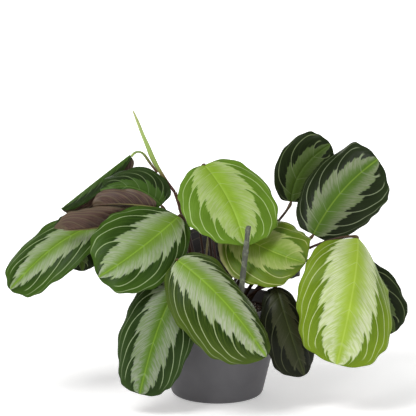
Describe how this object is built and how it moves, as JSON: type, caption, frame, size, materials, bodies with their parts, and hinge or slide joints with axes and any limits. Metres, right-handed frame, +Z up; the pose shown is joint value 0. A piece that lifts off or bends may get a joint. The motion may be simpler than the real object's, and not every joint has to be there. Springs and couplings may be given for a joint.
{
  "type": "potted prayer plant",
  "caption": "Prayer plant with broad silver-feathered leaves on thin stalks, rising from potting mix in a tapered matt grey grow pot with a short cane stake.",
  "frame": {"origin": "centre of the pot's foot, on the surface that the pot stands on", "axes": "+Z up along the pot's axis; -Y towards the plant's front; +X to the right as seen from the front, along the plant's widest spread"},
  "size_m": [0.383, 0.2213, 0.2754],
  "materials": {
    "pot": "matt grey moulded plastic",
    "potting_mix": "damp peat mix with bark and perlite",
    "stake": "weathered split cane",
    "stem": "brown living stem",
    "rolled_leaf": "pale green rolled young leaf",
    "young_leaf": "satin, lime with a silver feather",
    "green_leaf": "satin, mid green with a silver feather",
    "dark_leaf": "satin, dark green with pale veins",
    "leaf_stalk": "red-brown living stalk"
  },
  "bodies": {
    "root": {"pot": "pot", "potting_mix": "potting_mix", "stake": "stake", "stem": "stem", "rolled_leaf": "rolled_leaf", "leaf_top_centre": "young_leaf", "leaf_centre_right": "young_leaf", "leaf_right_front": "young_leaf", "leaf_front": "green_leaf", "leaf_left_front": "green_leaf", "leaf_lower_left": "green_leaf", "leaf_far_left": "green_leaf", "leaf_small": "green_leaf", "leaf_folded": "dark_leaf", "leaf_upper_left": "dark_leaf", "leaf_turned": "dark_leaf", "leaf_arched": "dark_leaf", "leaf_left_behind": "dark_leaf", "leaf_top_right_back": "dark_leaf", "leaf_top_right": "dark_leaf", "leaf_far_right": "dark_leaf", "leaf_lower_right": "dark_leaf", "leaf_back_left": "dark_leaf", "leaf_back_centre": "dark_leaf", "leaf_back_right": "dark_leaf", "leaf_back_low": "dark_leaf", "stalk_top_centre": "leaf_stalk", "stalk_centre_right": "leaf_stalk", "stalk_right_front": "leaf_stalk", "stalk_front": "leaf_stalk", "stalk_left_front": "leaf_stalk", "stalk_lower_left": "leaf_stalk", "stalk_far_left": "leaf_stalk", "stalk_small": "leaf_stalk", "stalk_folded": "leaf_stalk", "stalk_upper_left": "leaf_stalk", "stalk_turned": "leaf_stalk", "stalk_arched": "leaf_stalk", "stalk_left_behind": "leaf_stalk", "stalk_top_right_back": "leaf_stalk", "stalk_top_right": "leaf_stalk", "stalk_far_right": "leaf_stalk", "stalk_lower_right": "leaf_stalk", "stalk_back_left": "leaf_stalk", "stalk_back_centre": "leaf_stalk", "stalk_back_right": "leaf_stalk", "stalk_back_low": "leaf_stalk"}
  },
  "joints": []
}
